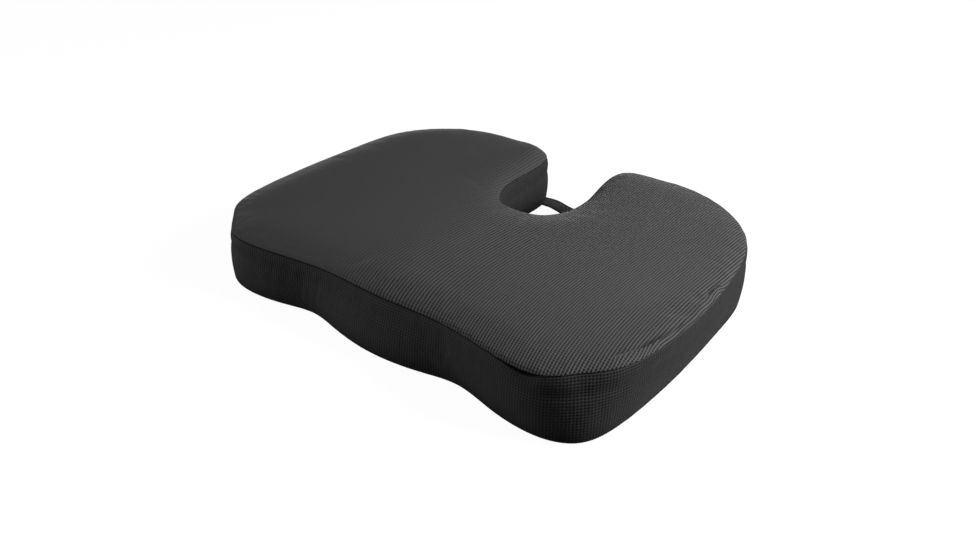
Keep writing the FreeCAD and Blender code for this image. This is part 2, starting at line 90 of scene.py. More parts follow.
# Softness of the rolled shoulder for the same rows, which differs left and right
SOFT = np.array([
    .6, .35, .12, 0, 0, 0, 0, .2, .3, .3, .3, .3, .3, .2, .2, .2, .3, .4,   # right, front to notch
    .4, .4, .4, .4, .5, .5, .5, .6, .8, .9, 1, 1, 1, 1, 1, .85])            # left, notch to front


# ------------------------------------------------------------------ shape of the side wall
def smooth(low, high, x):
    t = np.clip((x - low) / (high - low), 0, 1)
    return t * t * (3 - 2 * t)


def bell(offset, width):
    return np.exp(-(offset / width) ** 2)


class ClosedSpline:
    """Closed cubic spline through points at the given parameters."""

    def __init__(self, points, params):
        count = len(points)
        span = np.diff(params)
        matrix = np.zeros((count, count))
        target = np.zeros((count, points.shape[1]))
        for i in range(count):
            before, after, following = span[i - 1], span[i], (i + 1) % count
            matrix[i, i - 1] += before
            matrix[i, i] += 2 * (before + after)
            matrix[i, following] += after
            target[i] = 6 * ((points[following] - points[i]) / after
                             - (points[i] - points[i - 1]) / before)
        self.second = np.linalg.solve(matrix, target)
        self.points, self.params, self.span, self.count = points, params, span, count

    def __call__(self, u, slope=False):
        u = np.asarray(u, float) % self.params[-1]
        i = np.clip(np.searchsorted(self.params, u, side="right") - 1, 0, self.count - 1)
        j = (i + 1) % self.count
        span = self.span[i][:, None]
        ahead = (self.params[i + 1] - u)[:, None]
        behind = (u - self.params[i])[:, None]
        second_i, second_j = self.second[i], self.second[j]
        start = self.points[i] / span - second_i * span / 6
        end = self.points[j] / span - second_j * span / 6
        if slope:
            return (-second_i * ahead * ahead / (2 * span)
                    + second_j * behind * behind / (2 * span) - start + end)
        return (second_i * ahead ** 3 / (6 * span) + second_j * behind ** 3 / (6 * span)
                + start * ahead + end * behind)


_closed = np.vstack([ROWS[:, :2], ROWS[:1, :2]])
_chords = np.hypot(*np.diff(_closed, axis=0).T)
PARAMS = np.concatenate([[0], np.cumsum(np.sqrt(_chords))])
FOOT, SEAM = ClosedSpline(ROWS[:, :2], PARAMS), ClosedSpline(ROWS[:, 2:4], PARAMS)


def along_rows(values, u):
    """Value of a per-row table at parameters u, eased between rows."""
    u = np.asarray(u, float) % PARAMS[-1]
    i = np.clip(np.searchsorted(PARAMS, u, side="right") - 1, 0, len(ROWS) - 1)
    k = smooth(0, 1, (u - PARAMS[i]) / (PARAMS[i + 1] - PARAMS[i]))
    return values[i] + (values[(i + 1) % len(ROWS)] - values[i]) * k


def seam_height(x, y):
    """Polynomial height of the seam surface over the plan, before the local dips."""
    a, b = np.abs(x) / HALF_W, y / HALF_D
    return 50.4 + 1.9 * b + 9.2 * b * b + 10.0 * a * a + 3.5 * b ** 3 + 0.7 * a * a * b


def seam_line(u):
    """Height of the top seam at parameters u."""
    seam = SEAM(u)
    return seam_height(seam[:, 0], seam[:, 1]) + along_rows(DIP, u)


def unit(vectors):
    return vectors / np.linalg.norm(vectors, axis=1)[:, None]


def wall(u, z, inset=0.0):
    """Points of the side wall at parameters u and heights z, moved in by inset,
    and the outward normals in plan."""
    u = np.asarray(u, float) % PARAMS[-1]
    z = np.broadcast_to(np.asarray(z, float), u.shape)
    inset = np.broadcast_to(np.asarray(inset, float), u.shape)
    foot, seam = FOOT(u), SEAM(u)
    t = np.clip(z / seam_line(u), 0, 1)
    bulge = along_rows(BULGE, u) * np.sin(math.pi * t)
    radius = along_rows(FOOT_RADIUS, u)
    above = z - DOT_H
    arc_drop = np.maximum(0, radius * radius - (radius - np.maximum(above, 0)) ** 2)
    undercut = np.where(above < radius, radius - np.sqrt(arc_drop), 0)
    foot_dir, seam_dir = unit(FOOT(u, slope=True)), unit(SEAM(u, slope=True))
    tangent = unit(foot_dir + (seam_dir - foot_dir) * t[:, None])
    normal = np.stack([tangent[:, 1], -tangent[:, 0]], 1)
    p = foot + (seam - foot) * t[:, None] + normal * (bulge - undercut)[:, None]
    flat = ((1 - smooth(*FLAT_Y, np.abs(p[:, 1]))) * (1 - smooth(*FLAT_Z, z))
            * smooth(*FLAT_FOOT, above) * (p[:, 0] < LEFT_X))
    p[:, 0] += (ZIP_X - p[:, 0]) * flat
    normal = unit(normal * (1 - flat)[:, None] + np.array([-1.0, 0]) * flat[:, None])
    return np.column_stack([p - normal * inset[:, None], z]), normal


# Length along the wall foot, from the front middle and counter-clockwise seen from above
_fine_u = np.linspace(0, PARAMS[-1], 20001)
_fine_arc = np.concatenate([[0], np.cumsum(np.hypot(*np.diff(FOOT(_fine_u), axis=0).T))])
PERIM = _fine_arc[-1]


def u_of_arc(arc):
    return np.interp(np.asarray(arc) % PERIM, _fine_arc, _fine_u)


def even_arcs(count):
    return np.linspace(0, PERIM, count, endpoint=False)


def wrap_arc(arc):
    """Arc length brought to the range of half a perimeter either side of 0."""
    return (arc + PERIM / 2) % PERIM - PERIM / 2


def arc_of_join(y):
    """Arc length on the left side where the wall has this y at the height of the zip."""
    arcs = np.linspace(PERIM * 0.5, PERIM, 4000)
    p, _ = wall(u_of_arc(arcs), ZIP_Z)
    on_left = p[:, 0] < LEFT_X
    order = np.argsort(p[on_left, 1])
    return float(np.interp(y, p[on_left, 1][order], arcs[on_left][order]))


def right_arc_near(x, y):
    """Arc length on the right half where the upper wall passes closest to x, y."""
    arcs = np.linspace(0, PERIM * 0.5, 3000)
    p, _ = wall(u_of_arc(arcs), 40.0)
    return float(arcs[np.argmin(np.hypot(p[:, 0] - x, p[:, 1] - y))])


GAP_ARC = right_arc_near(154.0, -165.5)


def gap_at(arcs):
    """How far the top panel stands over the band, 1 at the widest, near the front right corner."""
    arcs = wrap_arc(np.asarray(arcs))
    return bell(arcs - GAP_ARC, np.where(arcs < GAP_ARC, 19.0, 14.0))


def noise1(x, seed, octaves=3):
    """Smooth repeatable noise of one variable, about -1 to 1."""
    draw = np.random.default_rng(seed)
    total, amplitude, x = 0.0, 1.0, np.asarray(x, float)
    for _ in range(octaves):
        phases = draw.uniform(0, 6.28, 4)
        rates = draw.uniform(0.6, 1.5, 4)
        waves = sum(np.sin(x * rate + phase) for rate, phase in zip(rates, phases))
        total = total + amplitude * waves / 4
        x = x * 2.1
        amplitude *= 0.5
    return total


# ------------------------------------------------------------------ mesh tools
def mesh_object(name, verts, faces, uv=None, smooth_shade=True):
    """Object from vertices in millimetres; uv is per vertex, in metres of cloth."""
    me = bpy.data.meshes.new(name)
    me.from_pydata([tuple(v) for v in np.asarray(verts) * MM], [],
                   [tuple(int(i) for i in f) for f in faces])
    me.update()
    if uv is not None:
        layer = me.uv_layers.new(name="weave")
        index = np.zeros(len(me.loops), np.int32)
        me.loops.foreach_get("vertex_index", index)
        layer.data.foreach_set("uv", np.asarray(uv, np.float32)[index].ravel())
    ob = bpy.data.objects.new(name, me)
    bpy.context.scene.collection.objects.link(ob)
    if smooth_shade:
        me.polygons.foreach_set("use_smooth", [True] * len(me.polygons))
    return ob


def solidify(ob, thickness):
    """Thicken inwards and apply every modifier of the object."""
    mod = ob.modifiers.new("thick", "SOLIDIFY")
    mod.thickness = thickness * MM
    mod.offset = -1
    depsgraph = bpy.context.evaluated_depsgraph_get()
    me = bpy.data.meshes.new_from_object(
        ob.evaluated_get(depsgraph), preserve_all_data_layers=True, depsgraph=depsgraph)
    old = ob.data
    ob.modifiers.clear()
    ob.data = me
    me.name = ob.name
    bpy.data.meshes.remove(old)


def make_cloth_solid(ob, thickness):
    """Subdivide a cloth sheet and thicken it."""
    mod = ob.modifiers.new("sub", "SUBSURF")
    mod.levels = mod.render_levels = 1
    mod.boundary_smooth = "PRESERVE_CORNERS"
    solidify(ob, thickness)
    ob.data.polygons.foreach_set("use_smooth", [True] * len(ob.data.polygons))


def grid_faces(rows, cols, closed):
    faces = []
    for r in range(rows - 1):
        for c in range(cols if closed else cols - 1):
            a, b = r * cols + c, r * cols + (c + 1) % cols
            faces.append((a, b, b + cols, a + cols))
    return faces


def inside(points, ring):
    """Which points lie inside the closed outline, by counting crossings."""
    x, y = points[:, 0], points[:, 1]
    result = np.zeros(len(points), bool)
    for (x0, y0), (x1, y1) in zip(ring, np.roll(ring, -1, axis=0)):
        crosses = (y0 > y) != (y1 > y)
        result ^= crosses & (x < (x1 - x0) * (y - y0) / (y1 - y0 + 1e-12) + x0)
    return result


def distances(points, ring):
    return np.hypot(points[:, None, 0] - ring[None, :, 0], points[:, None, 1] - ring[None, :, 1])


def field_points(ring, step, clearance=0.6, stagger=False):
    """Grid points inside the outline, at least clearance * step away from it."""
    xs, ys = np.arange(-230, 230.1, step), np.arange(-175, 180.1, step)
    grid_x, grid_y = np.meshgrid(xs, ys)
    if stagger:
        grid_x = grid_x + (np.arange(len(ys)) % 2)[:, None] * step / 2
    points = np.column_stack([grid_x.ravel(), grid_y.ravel()])
    points = points[inside(points, ring)]
    return points[np.min(distances(points, ring), axis=1) > step * clearance]


def triangulate(ring, points):
    """Triangles over outline and points, and the input index of each output vertex."""
    edges = [(i, (i + 1) % len(ring)) for i in range(len(ring))]
    _, _, faces, sources, _, _ = delaunay_2d_cdt(
        [Vector(p) for p in ring] + [Vector(p) for p in points], edges, [], 1, 1e-6)
    return [source[0] for source in sources], faces


def cap_faces(ring, points, ring_start, points_start, flip=False):
    """Triangles that close a ring of a mesh, given where ring and points start in its vertices."""
    order, faces = triangulate(ring, points)
    count = len(ring)
    index = [ring_start + i if i < count else points_start + i - count for i in order]
    return [tuple(index[i] for i in (f[::-1] if flip else f)) for f in faces]


def join_pieces(name, pieces):
    verts, faces, offset = [], [], 0
    for piece_verts, piece_faces in pieces:
        verts.append(piece_verts)
        faces += [tuple(i + offset for i in f) for f in piece_faces]
        offset += len(piece_verts)
    return mesh_object(name, np.concatenate(verts), faces)


# ------------------------------------------------------------------ material tools
class Graph:
    """Short calls for building a node tree. Colours are given as RGB tuples."""

    def __init__(self, tree):
        self.tree = tree
        tree.nodes.clear()

    def node(self, kind, **attributes):
        n = self.tree.nodes.new(kind)
        for key, value in attributes.items():
            setattr(n, key, value)
        return n

    def put(self, socket, value):
        if isinstance(value, bpy.types.NodeSocket):
            self.tree.links.new(value, socket)
        else:
            socket.default_value = (*value, 1) if isinstance(value, tuple) else value

    def math(self, operation, a, b=None, clamp=False):
        n = self.node("ShaderNodeMath", operation=operation, use_clamp=clamp)
        self.put(n.inputs[0], a)
        if b is not None:
            self.put(n.inputs[1], b)
        return n.outputs[0]

    def add(self, a, b, clamp=False):
        return self.math("ADD", a, b, clamp)

    def sub(self, a, b):
        return self.math("SUBTRACT", a, b)

    def mul(self, a, b, clamp=False):
        return self.math("MULTIPLY", a, b, clamp)

    def div(self, a, b):
        return self.math("DIVIDE", a, b)

    def triangle(self, x):
        """0 at whole numbers, 1 half way between."""
        return self.math("PINGPONG", self.mul(x, 2.0), 1.0)

    def smoothstep(self, low, high, x):
        n = self.node("ShaderNodeMapRange", interpolation_type="SMOOTHSTEP")
        self.put(n.inputs["Value"], x)
        n.inputs["From Min"].default_value = low
        n.inputs["From Max"].default_value = high
        return n.outputs[0]

    def mix(self, factor, a, b):
        n = self.node("ShaderNodeMix", data_type="RGBA")
        for index, value in ((0, factor), (6, a), (7, b)):
            self.put(n.inputs[index], value)
        return n.outputs[2]

    def noise(self, vector, scale, detail=3.0, roughness=0.5):
        n = self.node("ShaderNodeTexNoise")
        self.put(n.inputs["Vector"], vector)
        n.inputs["Scale"].default_value = scale
        n.inputs["Detail"].default_value = detail
        n.inputs["Roughness"].default_value = roughness
        return n.outputs["Fac"]

    def xyz(self, vector):
        n = self.node("ShaderNodeSeparateXYZ")
        self.put(n.inputs[0], vector)
        return n.outputs

    def weave(self):
        """Cloth coordinates: u, v and both as a vector."""
        vector = self.node("ShaderNodeUVMap", uv_map="weave").outputs[0]
        parts = self.xyz(vector)
        return parts[0], parts[1], vector

    def position(self):
        return self.node("ShaderNodeTexCoord").outputs["Object"]

    def surface(self, color, roughness, height, bump_distance, bump_strength, sheen, specular,
                sheen_roughness=0.4):
        shader = self.node("ShaderNodeBsdfPrincipled")
        for key, value in (("Base Color", color), ("Roughness", roughness),
                           ("Specular IOR Level", specular), ("Sheen Weight", sheen),
                           ("Sheen Roughness", sheen_roughness), ("Sheen Tint", (1, 1, 1))):
            self.put(shader.inputs[key], value)
        bump = self.node("ShaderNodeBump")
        bump.inputs["Strength"].default_value = bump_strength
        bump.inputs["Distance"].default_value = bump_distance
        self.put(bump.inputs["Height"], height)
        self.put(shader.inputs["Normal"], bump.outputs[0])
        self.output("ShaderNodeOutputMaterial", shader.outputs[0])

    def emitter(self, kind, color, strength):
        n = self.node(kind)
        self.put(n.inputs[0], color)
        self.put(n.inputs[1], strength)
        return n.outputs[0]

    def diffuse(self, grey):
        n = self.node("ShaderNodeBsdfDiffuse")
        self.put(n.inputs[0], (grey, grey, grey))
        return n.outputs[0]

    def by_ray(self, camera, others):
        """One shader for camera rays, another for all others."""
        n = self.node("ShaderNodeMixShader")
        self.put(n.inputs[0], self.node("ShaderNodeLightPath").outputs["Is Camera Ray"])
        self.put(n.inputs[1], others)
        self.put(n.inputs[2], camera)
        return n.outputs[0]

    def output(self, kind, shader):
        self.put(self.node(kind).inputs[0], shader)


def new_mat(name):
    mat = bpy.data.materials.new(name)
    mat.use_nodes = True
    return mat, Graph(mat.node_tree)


def mesh_fabric(name, dark, light, wale, course, pitch, sheen, ridge_power=1.6,
                calm=None, painted_foot_shadow=None):
    """Knitted spacer mesh: a square grid of small holes between rounded wales (along v)
    and courses (along u)."""
    mat, g = new_mat(name)
    u, v, uv = g.weave()
    wobble_u = g.noise(uv, scale=18.0, detail=2.0)
    wobble_v = g.noise(uv, scale=26.0, detail=2.0)

    def cells(coordinate, wobble):
        return g.add(g.div(coordinate, pitch * MM), g.mul(g.sub(wobble, 0.5), 0.55))

    def ridge(cell):
        """1 on a ridge, 0 in the middle of a hole."""
        return g.sub(1.0, g.math("POWER", g.triangle(cell), ridge_power))

    cell_u, cell_v = cells(u, wobble_u), cells(v, wobble_v)
    ridge_u, ridge_v = ridge(cell_u), ridge(cell_v)
    highest = g.math("MAXIMUM", g.mul(ridge_u, wale), g.mul(ridge_v, course))
    both = g.add(g.mul(ridge_u, 0.6 * wale), g.mul(ridge_v, 0.6 * course))
    body = g.add(g.mul(highest, 0.6), g.mul(both, 0.45))
    # plies of the yarn: 4 per cell along v, 2 along u
    ply = g.triangle(g.add(g.mul(cell_v, 4.0), g.mul(cell_u, 2.0)))
    height = g.add(body, g.mul(ply, 0.10))
    patches = g.noise(uv, scale=9.0)
    fuzz = g.noise(uv, scale=1400.0, detail=2.0)
    # shade: ridges light and holes dark, varied by patches (40 %), plies (12 %) and fuzz (18 %)
    shade = g.mul(g.smoothstep(0.18, 0.92, body), g.add(0.80, g.mul(patches, 0.40)))
    grain = g.add(g.mul(g.sub(ply, 0.5), 0.12), g.mul(g.sub(fuzz, 0.5), 0.18))
    shade = g.add(shade, grain, clamp=True)
    if calm is not None:
        # painted light: towards the left the shade moves towards its mean and the weave flattens,
        # as the grazing light shows it there
        pos = g.xyz(g.position())
        across = g.sub(pos[0], g.mul(pos[1], calm["y_slope"]))
        k = g.smoothstep(calm["x_from"] * MM, calm["x_to"] * MM, across)
        k = g.add(calm["least"], g.mul(k, 1.0 - calm["least"]))
        shade = g.add(calm["mean"], g.mul(g.sub(shade, calm["mean"]), k))
        height = g.mul(height, k)
        # painted shade in the valleys of the folds
        crease_shade = g.node("ShaderNodeAttribute", attribute_name="crease_shade").outputs["Fac"]
        shade = g.mul(shade, g.sub(1.0, g.mul(crease_shade, 0.72)))
    if painted_foot_shadow is not None:
        # painted shadow: darker towards the ground, full tone from z = 23 mm
        pos = g.xyz(g.position())
        rise = g.mul(g.smoothstep(-0.002, 0.023, pos[2]), 1.0 - painted_foot_shadow)
        shade = g.mul(shade, g.add(painted_foot_shadow, rise))
    g.surface(g.mix(shade, dark, light), roughness=0.68, height=height, bump_distance=0.0007,
              bump_strength=0.8, sheen=sheen, sheen_roughness=0.35, specular=0.22)
    return mat


def woven_surface(g, dark, light, height, patches, roughness, bump_distance, sheen):
    """Threads lighter than the gaps, with uneven patches."""
    shade = g.mul(height, g.add(0.6, g.mul(patches, 0.7)), clamp=True)
    g.surface(g.mix(shade, dark, light), roughness=roughness, height=height,
              bump_distance=bump_distance, bump_strength=0.7, sheen=sheen, specular=0.3)


def woven_mat(name, dark, light, pitch, sheen=0.1, roughness=0.7):
    """Plain weave: threads along u and v take turns on a chequerboard."""
    mat, g = new_mat(name)
    u, v, uv = g.weave()
    cell_u, cell_v = g.div(u, pitch * MM), g.div(v, pitch * MM)
    index = g.add(g.math("FLOOR", cell_u), g.math("FLOOR", cell_v))
    odd = g.math("MODULO", g.math("ABSOLUTE", index), 2.0)
    height = g.add(g.mul(g.triangle(cell_u), odd), g.mul(g.triangle(cell_v), g.sub(1.0, odd)))
    woven_surface(g, dark, light, height, g.noise(uv, scale=30.0), roughness=roughness,
                  bump_distance=0.00025, sheen=sheen)
    return mat


def tape_mat(name, dark, light, pitch):
    """Herringbone tape, woven along Y; the diagonal turns every 3 threads in Z."""
    mat, g = new_mat(name)
    pos = g.xyz(g.position())
    cell_y, cell_z = g.div(pos[1], pitch * MM), g.div(pos[2], pitch * MM)
    diagonal = g.add(cell_y, g.math("PINGPONG", cell_z, 3.0))
    height = g.triangle(g.mul(diagonal, 0.5))
    woven_surface(g, dark, light, height, g.noise(g.position(), scale=900.0), roughness=0.7,
                  bump_distance=0.0002, sheen=0.1)
    return mat


def grained_mat(name, dark, light, scale, roughness, specular, sheen=0.0, twist=None, worn=None):
    """Fine-grained finish. twist is the pitch of diagonal plies, worn a colour on the edges."""
    mat, g = new_mat(name)
    position = g.position()
    coarse = g.noise(position, scale=scale, detail=4.0, roughness=0.6)
    fine = g.noise(position, scale=scale * 18, roughness=0.6)
    color = g.mix(coarse, dark, light)
    height = g.add(g.mul(coarse, 0.4), g.mul(fine, 0.6))
    if twist is not None:
        pos = g.xyz(position)
        ply = g.triangle(g.div(g.add(g.add(pos[0], pos[1]), pos[2]), twist * MM))
        height = g.add(height, ply)
        color = g.mix(g.mul(ply, 0.7), color, light)
    if worn is not None:
        edges = g.node("ShaderNodeNewGeometry").outputs["Pointiness"]
        wear = g.mul(g.smoothstep(0.53, 0.60, edges), g.smoothstep(0.35, 0.65, fine))
        color = g.mix(wear, color, worn)
    g.surface(color, roughness=g.add(roughness - 0.08, g.mul(fine, 0.16)), height=height,
              bump_distance=0.00012, bump_strength=0.5, sheen=sheen, specular=specular)
    return mat


# the top's calm setting paints the weave flatter on the left, as grazing light shows it there
MAT_TOP = mesh_fabric(
    "mesh_top", dark=(0.003, 0.003, 0.0032), light=(0.128, 0.128, 0.130), wale=1.0, course=0.62,
    pitch=2.45, sheen=0.25, ridge_power=1.25,
    calm=dict(x_from=-60.0, x_to=15.0, y_slope=0.0, least=0.27, mean=0.64))
MAT_BAND = mesh_fabric(
    "mesh_band", dark=(0.006, 0.006, 0.0062), light=(0.050, 0.050, 0.0515), wale=0.8,
    # the band gets a painted shadow towards the ground
    course=0.95, pitch=2.5, sheen=0.09, painted_foot_shadow=0.05)
MAT_BASE = woven_mat("base_cloth", dark=(0.010, 0.010, 0.011), light=(0.045, 0.045, 0.047),
                     pitch=1.1)
MAT_WEB = woven_mat("webbing", dark=(0.012, 0.012, 0.013), light=(0.075, 0.075, 0.078),
                    pitch=1.3, sheen=0.15, roughness=0.6)
MAT_TAPE = tape_mat("zip_tape", dark=(0.010, 0.010, 0.011), light=(0.05, 0.05, 0.052),
                    pitch=0.55)
MAT_THREAD = grained_mat(
    "thread", dark=(0.010, 0.010, 0.011), light=(0.045, 0.045, 0.047), scale=300.0,
    roughness=0.6, specular=0.3, sheen=0.1, twist=1.2)
MAT_COIL = grained_mat("coil_nylon", dark=(0.012, 0.012, 0.013), light=(0.035, 0.035, 0.037),
                       scale=200.0, roughness=0.32, specular=0.5)
MAT_METAL = grained_mat(
    "zip_enamel", dark=(0.015, 0.015, 0.016), light=(0.03, 0.03, 0.031), scale=150.0,
    roughness=0.33, specular=0.5, worn=(0.28, 0.27, 0.25))
MAT_RUBBER = grained_mat("grip_rubber", dark=(0.012, 0.012, 0.012), light=(0.03, 0.03, 0.03),
                         scale=120.0, roughness=0.7, specular=0.3)
# painted shade: near-black cloth on the turned-in seam allowance, seen as shade in the gap under
# the lip
MAT_GAP_SHADE = grained_mat("gap_shade", dark=(0.0015, 0.0015, 0.0016), light=(0.006, 0.006, 0.0062),
                         scale=900.0, roughness=0.85, specular=0.1)
MAT_FOAM = grained_mat("foam", dark=(0.70, 0.67, 0.58), light=(0.88, 0.86, 0.80),
                       scale=700.0, roughness=0.85, specular=0.2)


def paint(ob, mat):
    ob.data.materials.clear()
    ob.data.materials.append(mat)


def put_on_cushion(ob, mat, slot, *replaced):
    paint(ob, mat)
    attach(ob, "cushion")
    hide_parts(*replaced)


# ------------------------------------------------------------------ side band and zip strips
# A mesh row is (inset, kind, value). Kinds: "z" is a height, "share" a share of the way from
# a start height to UNDER_SEAM below the top seam, "seam" a height relative to the top seam.
UNDER_SEAM = 3.4
BAND_START, STRIP_START = 12.4, 29.5    # start heights of the "share" rows


def upright(*heights):
    return [(0.0, "z", z) for z in heights]


def shares(count):
    return [(0.0, "share", t) for t in np.linspace(0, 1, count)[:-1]]


FOOT_ROWS = [(7.3, "z", 1.75), (7.0, "z", 1.30), (6.5, "z", 0.98)]
FOOT_ROWS += upright(0.84, 1.0, 1.35, 1.9, 2.7, 3.8, 5.2, 6.8)
SEAM_ROWS = [(inset, "seam", z) for inset, z in (
    (0.0, -2.3), (0.05, -1.6), (0.24, -1.05), (0.62, -0.70), (1.2, -0.50), (2.4, -0.42))]
BAND_ROWS = FOOT_ROWS + upright(8.6, 10.5) + shares(20) + SEAM_ROWS

# Cloth edge turned in at the zip: inset, distance beyond the window
ZIP_EDGE = [(2.9, 0.9), (2.5, 0.35), (1.7, 0.05), (0.9, 0.0), (0.3, 0.25),
            (0.0, 0.8), (0.0, 1.6), (0.0, 2.8), (0.0, 4.2)]
UPPER_ROWS = [(inset, "z", ZIP_Z + ZIP_WINDOW + beyond) for inset, beyond in ZIP_EDGE]
UPPER_ROWS += shares(16) + SEAM_ROWS
LOWER_EDGE = [(0.0, 0.9), (0.3, 0.3), (0.9, 0.0), (1.7, 0.05), (2.5, 0.35), (2.9, 0.9)]
LOWER_ROWS = FOOT_ROWS + upright(8.4, 9.8, 10.8)
LOWER_ROWS += [(inset, "z", ZIP_Z - ZIP_WINDOW - beyond) for inset, beyond in LOWER_EDGE]


def place_rows(spec, arcs, start):
    """Points and normals of the mesh rows, and the height of the seam above them."""
    us = u_of_arc(arcs)
    seam = seam_line(us)
    points, normals = [], []
    for inset, kind, value in spec:
        if kind == "z":
            z = np.full(len(us), value)
        elif kind == "share":
            z = start + (seam - UNDER_SEAM - start) * value
        else:
            z = seam + value
        p, normal = wall(us, np.maximum(z, DOT_H), inset)
        p[:, 2] = z
        points.append(p)
        normals.append(normal)
    return points, normals, seam


def band_uv(rows, arcs):
    """Weave coordinates: along the perimeter, and the true length down from the top row."""
    length = np.zeros(len(arcs))
    lengths = []
    previous = rows[0]
    for row in rows:
        length = length + np.linalg.norm(row - previous, axis=1)
        previous = row
        lengths.append(length)
    return np.concatenate([np.column_stack([arcs * MM, v * MM - length * MM]) for v in lengths])


def draw_in_ends(push, arcs, fade):
    """Fade the relief near both ends of a strip and pull the ends in where they are joined."""
    from_end = np.minimum(np.abs(arcs - arcs[0]), np.abs(arcs - arcs[-1]))
    return push * np.clip(from_end / fade, 0, 1) - 1.6 * bell(from_end, 1.2)


def build_band(arcs):
    """Side band from one end of the zip strips round to the other. Also returns its row count."""
    points, normals, _ = place_rows(BAND_ROWS, arcs, BAND_START)
    uv = band_uv(points, arcs)
    seam = points[-1][:, 2].copy()
    gap = gap_at(arcs)
    moved = [p.copy() for p in points]
    for p, normal in zip(moved, normals):
        t = p[:, 2] / seam
        below = seam - p[:, 2]
        body = np.sin(np.clip(t, 0, 1) * math.pi)
        # long and short waves of the cloth, and gathers below the top seam
        push = (0.45 * body * noise1(arcs / 23.0 + t * 1.3, 3)
                + 0.25 * body * noise1(arcs / 8.0 - t * 2.0, 5)
                + 0.35 * bell(below - 5.0, 5.0) * noise1(arcs / 5.0, 11, 2))
        push = draw_in_ends(push, arcs, fade=12.0)
        # the cloth hangs in and down at the gap
        push = push - 1.0 * gap * bell(below, 5.0)
        p[:, 2] -= 4.3 * gap * bell(below, 6.5)
        # a swelling below the seam with a hollow under it
        push = push + 0.7 * bell(below - 6.5, 4.5) - 0.6 * bell(below - 16.0, 4.0)
        p[:, :2] += normal * push[:, None]
    faces = grid_faces(len(moved), len(arcs), closed=False)
    return mesh_object("side_band_cloth", np.concatenate(moved), faces, uv), len(moved)


def build_zip_strip(name, spec, arcs):
    """Cloth strip above or below the zip."""
    points, normals, seam = place_rows(spec, arcs, STRIP_START)
    for p, normal in zip(points, normals):
        z = p[:, 2].copy()
        t = np.clip(z / seam, 0, 1)
        # waves on the upper part, and a groove on both sides of the zip
        waves = 0.4 * smooth(27, 45, z) * np.sin(t * math.pi) * noise1(arcs / 21.0 + t, 13)
        push = waves - 0.30 * bell(np.abs(z - ZIP_Z) - 7.6, 0.9)
        p[:, :2] += normal * draw_in_ends(push, arcs, fade=10.0)[:, None]
    faces = grid_faces(len(points), len(arcs), closed=False)
    return mesh_object(name, np.concatenate(points), faces, band_uv(points, arcs))


def strip_arcs(start, end):
    """Mesh columns from start to end, finer next to both ends."""
    middle = np.linspace(start + 5, end - 5, max(2, int((end - start - 10) / STEP)))
    fine = np.array([0, 0.5, 1.0, 1.6, 2.4, 3.4])
    return np.concatenate([start + fine, middle, (end - fine)[::-1]])


REAR_JOIN, FRONT_JOIN = arc_of_join(JOIN_Y), arc_of_join(-JOIN_Y)
band_arcs = strip_arcs(FRONT_JOIN - PERIM, REAR_JOIN)
zip_arcs = strip_arcs(REAR_JOIN, FRONT_JOIN)
side_band, band_row_count = build_band(band_arcs)
zip_upper = build_zip_strip("zip_strip_upper", UPPER_ROWS, zip_arcs)
zip_lower = build_zip_strip("zip_strip_lower", LOWER_ROWS, zip_arcs)

# ------------------------------------------------------------------ top panel
# Rows up the inside of the lip: inset, height above the seam line
LIP = [(2.9, -9.5), (2.7, -6.0), (2.6, -3.0), (2.45, -1.1), (2.2, -0.34),
       (1.7, -0.24), (1.1, -0.12), (0.55, 0.04), (0.15, 0.38)]
# the turned-in seam allowance below gets a near-black painted shade for the gap under the lip
GAP_SHADE_ROWS = 4         # rows of faces of the turned-in seam allowance
RIM = 11.0              # width of the rim that is built as rows along the seam
OVER = [0.0, 0.18, 0.45, 0.85, 1.4, 2.1, 2.9, 3.7, 4.5, 5.3, 6.1, 6.9, 7.8, 9.2, RIM]

# Folds: seam x, y | distance in from the seam | slope along it | length | depth | width
FOLDS = [
    (217.5, -92.0, 6.4, -0.05, 21.0, 3.6, 2.2),
    (208.0, -124.0, 9.2, 0.05, 12.0, 1.2, 1.7),
    (222.0, -58.0, 3.7, -0.03, 17.0, 1.4, 1.4),
    (224.2, 3.0, 6.0, -0.06, 13.0, 3.0, 2.0),
    (223.4, -30.0, 5.2, 0.02, 11.0, 1.0, 1.4),
    (-221.0, 30.0, 6.5, 0.04, 22.0, 0.35, 1.8),
    (60.0, -152.0, 6.0, 0.0, 25.0, 0.35, 2.0),
    (-100.0, -156.0, 7.0, 0.0, 25.0, 0.35, 2.0),
    (150.0, 147.0, 6.5, 0.05, 18.0, 0.6, 1.6),
    (-150.0, 147.0, 6.0, -0.05, 16.0, 0.6, 1.6)]


def rise_at(d, dome, soft):
    """Height of the panel above the seam line at a distance d in from the seam:
    a steep shoulder, widened by soft, and a wide dome."""
    shoulder = (3.0 + 1.4 * soft) * (1 - np.exp(-d / (2.1 + 2.3 * soft)))
    return 0.85 + shoulder + (4.95 - 1.4 * soft) * dome * (1 - np.exp(-d / 17.0))


def weave_uv(x, y):
    """Weave coordinates of the top cloth: stretched in the middle and bowed a little."""
    middle, tight, ease = 50.0, 0.74, 45.0
    far = np.maximum(np.abs(x) - middle, 0)
    u = np.sign(x) * (tight * np.minimum(np.abs(x), middle) + far
                      - (1 - tight) * ease * (1 - np.exp(-far / ease)))
    back = y + 60.0
    rear_drift = -0.07 * (back - 30 * (1 - np.exp(-np.maximum(back, 0) / 30.0)))
    drift = np.where(back < 0, -0.0010 * back ** 2, rear_drift)
    return np.column_stack([u + drift, y]) * MM


